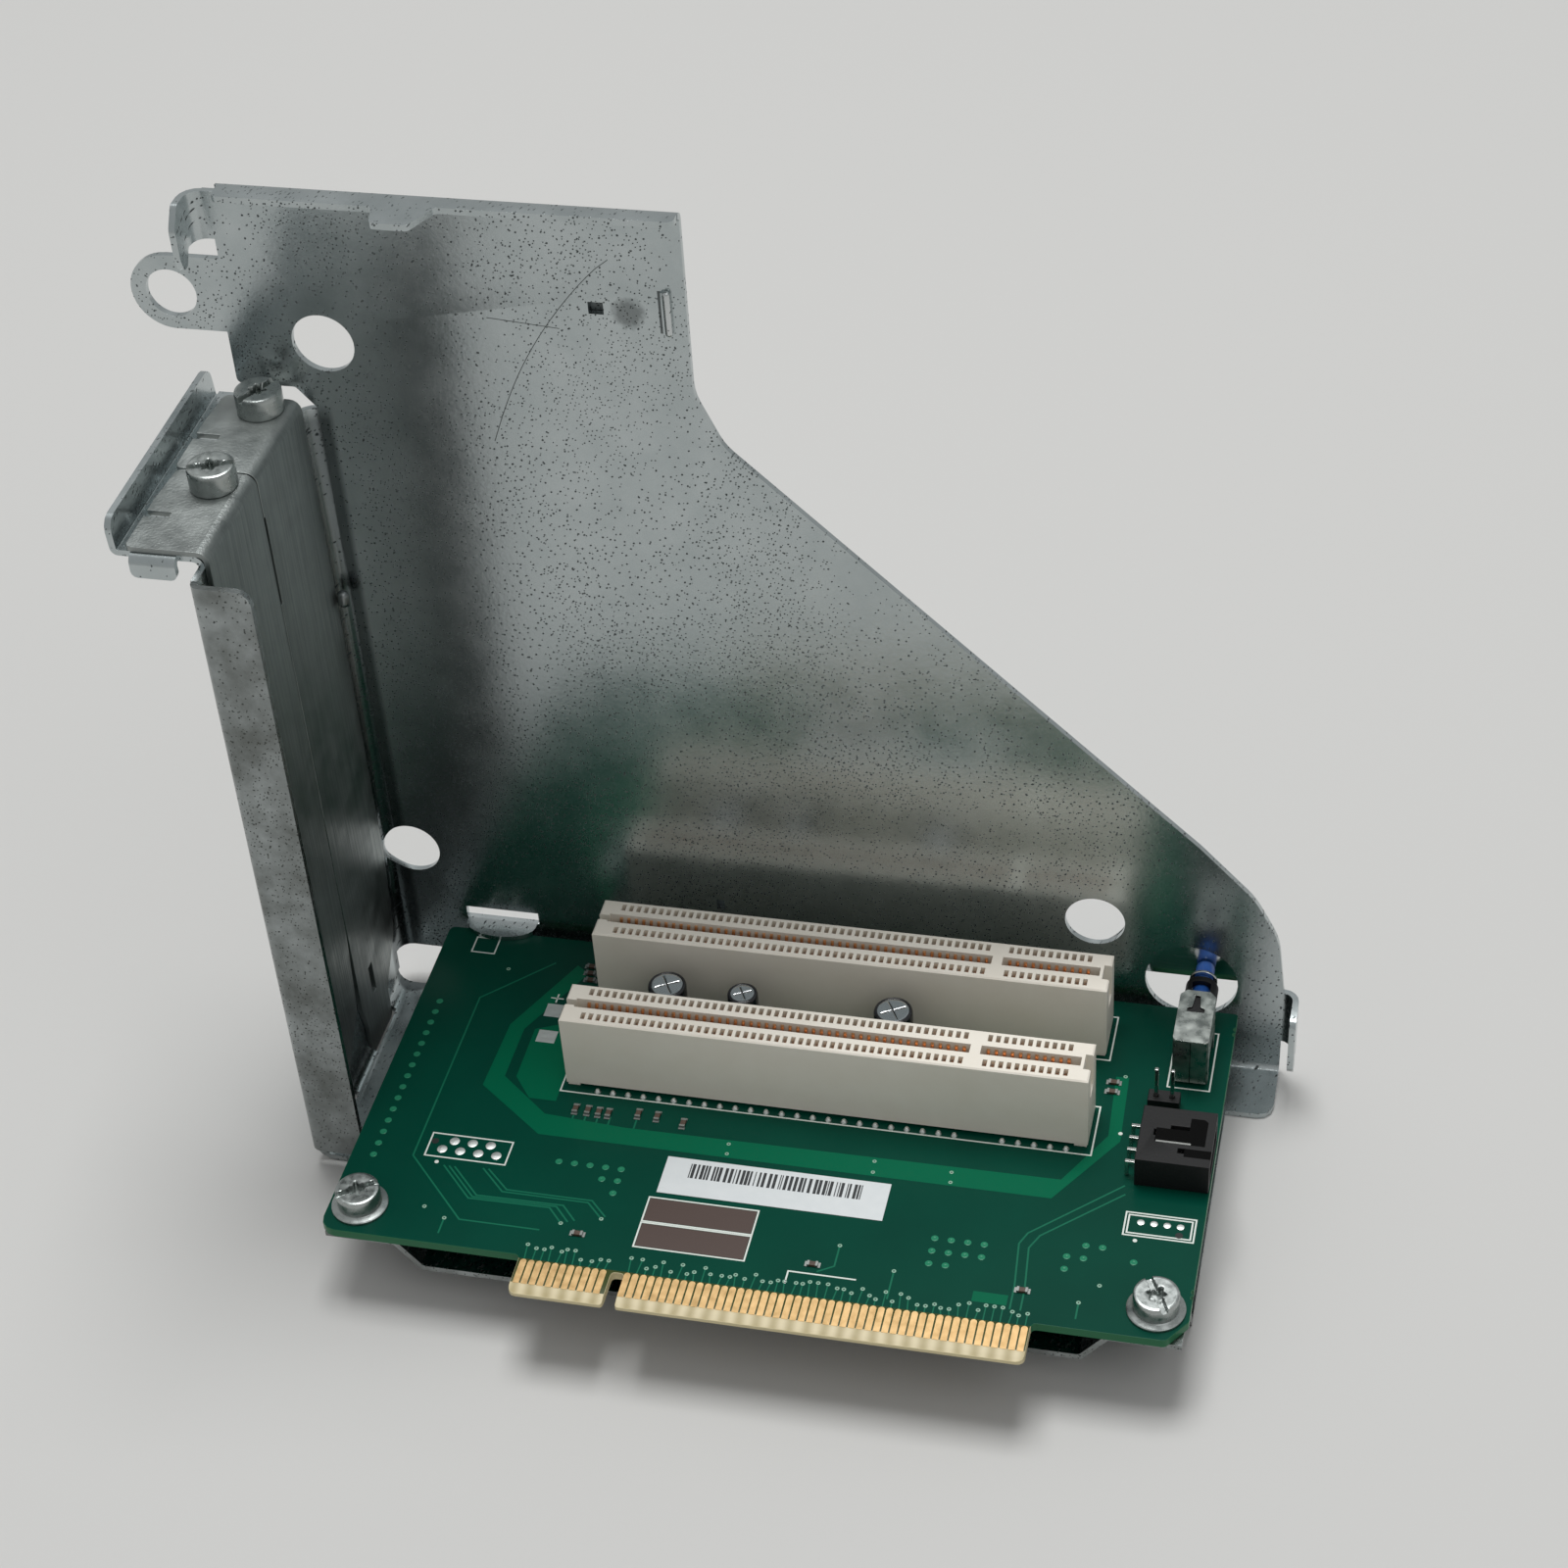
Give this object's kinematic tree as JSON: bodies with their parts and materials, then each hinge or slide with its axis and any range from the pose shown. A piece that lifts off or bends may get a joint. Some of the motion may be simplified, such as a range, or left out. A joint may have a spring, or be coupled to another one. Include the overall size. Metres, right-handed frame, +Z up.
{
  "type": "riser cage bracket",
  "caption": "Folded zinc-plated sheet cage holding a riser board with card slots, blank slot covers, a hood sensor switch and gold edge fingers.",
  "frame": {"origin": "on the underside of the cage's base, below the middle of the riser board", "axes": "+X along the card slots away from the slotted wall, +Y towards the big plate, +Z up from the base"},
  "size_m": [0.1791, 0.0819, 0.156],
  "materials": {
    "zinc_sheet": "bright zinc plate with fine dark specks",
    "cover_steel": "dull brushed plating",
    "screw_steel": "bright zinc plate",
    "board_laminate": "green solder mask",
    "gold_plate": "gold plate",
    "ivory_plastic": "smooth ivory moulding",
    "black_sleeve": "glossy black sleeve",
    "black_plastic": "fine matt black",
    "tinned_pin": "bright tin",
    "switch_steel": "satin nickel",
    "blue_plastic": "smooth blue",
    "leaf_steel": "polished",
    "white_label": "matt white",
    "chip_body": "matt brown"
  },
  "bodies": {
    "frame": {"cage_frame": "zinc_sheet", "slot_cover_front": "cover_steel", "slot_cover_rear": "cover_steel", "cover_screw_front": "screw_steel", "cover_screw_rear": "screw_steel", "board_screw_left": "screw_steel", "board_screw_right": "screw_steel", "riser_board": "board_laminate", "edge_fingers_top": "gold_plate", "edge_fingers_bottom": "gold_plate", "slot_housing_front": "ivory_plastic", "slot_housing_rear": "ivory_plastic", "slot_contacts_front": "gold_plate", "slot_contacts_rear": "gold_plate", "capacitor_left": "black_sleeve", "capacitor_middle": "black_sleeve", "capacitor_right": "black_sleeve", "audio_shroud": "black_plastic", "audio_pins": "tinned_pin", "jumper_base": "black_plastic", "jumper_pins": "tinned_pin", "switch_can": "switch_steel", "switch_body": "black_plastic", "switch_bushing": "black_plastic", "sensor_leaf": "leaf_steel", "board_label": "white_label", "chip_parts": "chip_body"},
    "plunger": {"switch_plunger": "blue_plastic"}
  },
  "joints": [
    {"name": "plunger_slide", "type": "slide", "parent": "frame", "child": "plunger", "axis": [0, -1, 0], "range_m": [0, 0.0012], "stiffness_N_per_m": 600, "springref_m": -0.001}
  ]
}
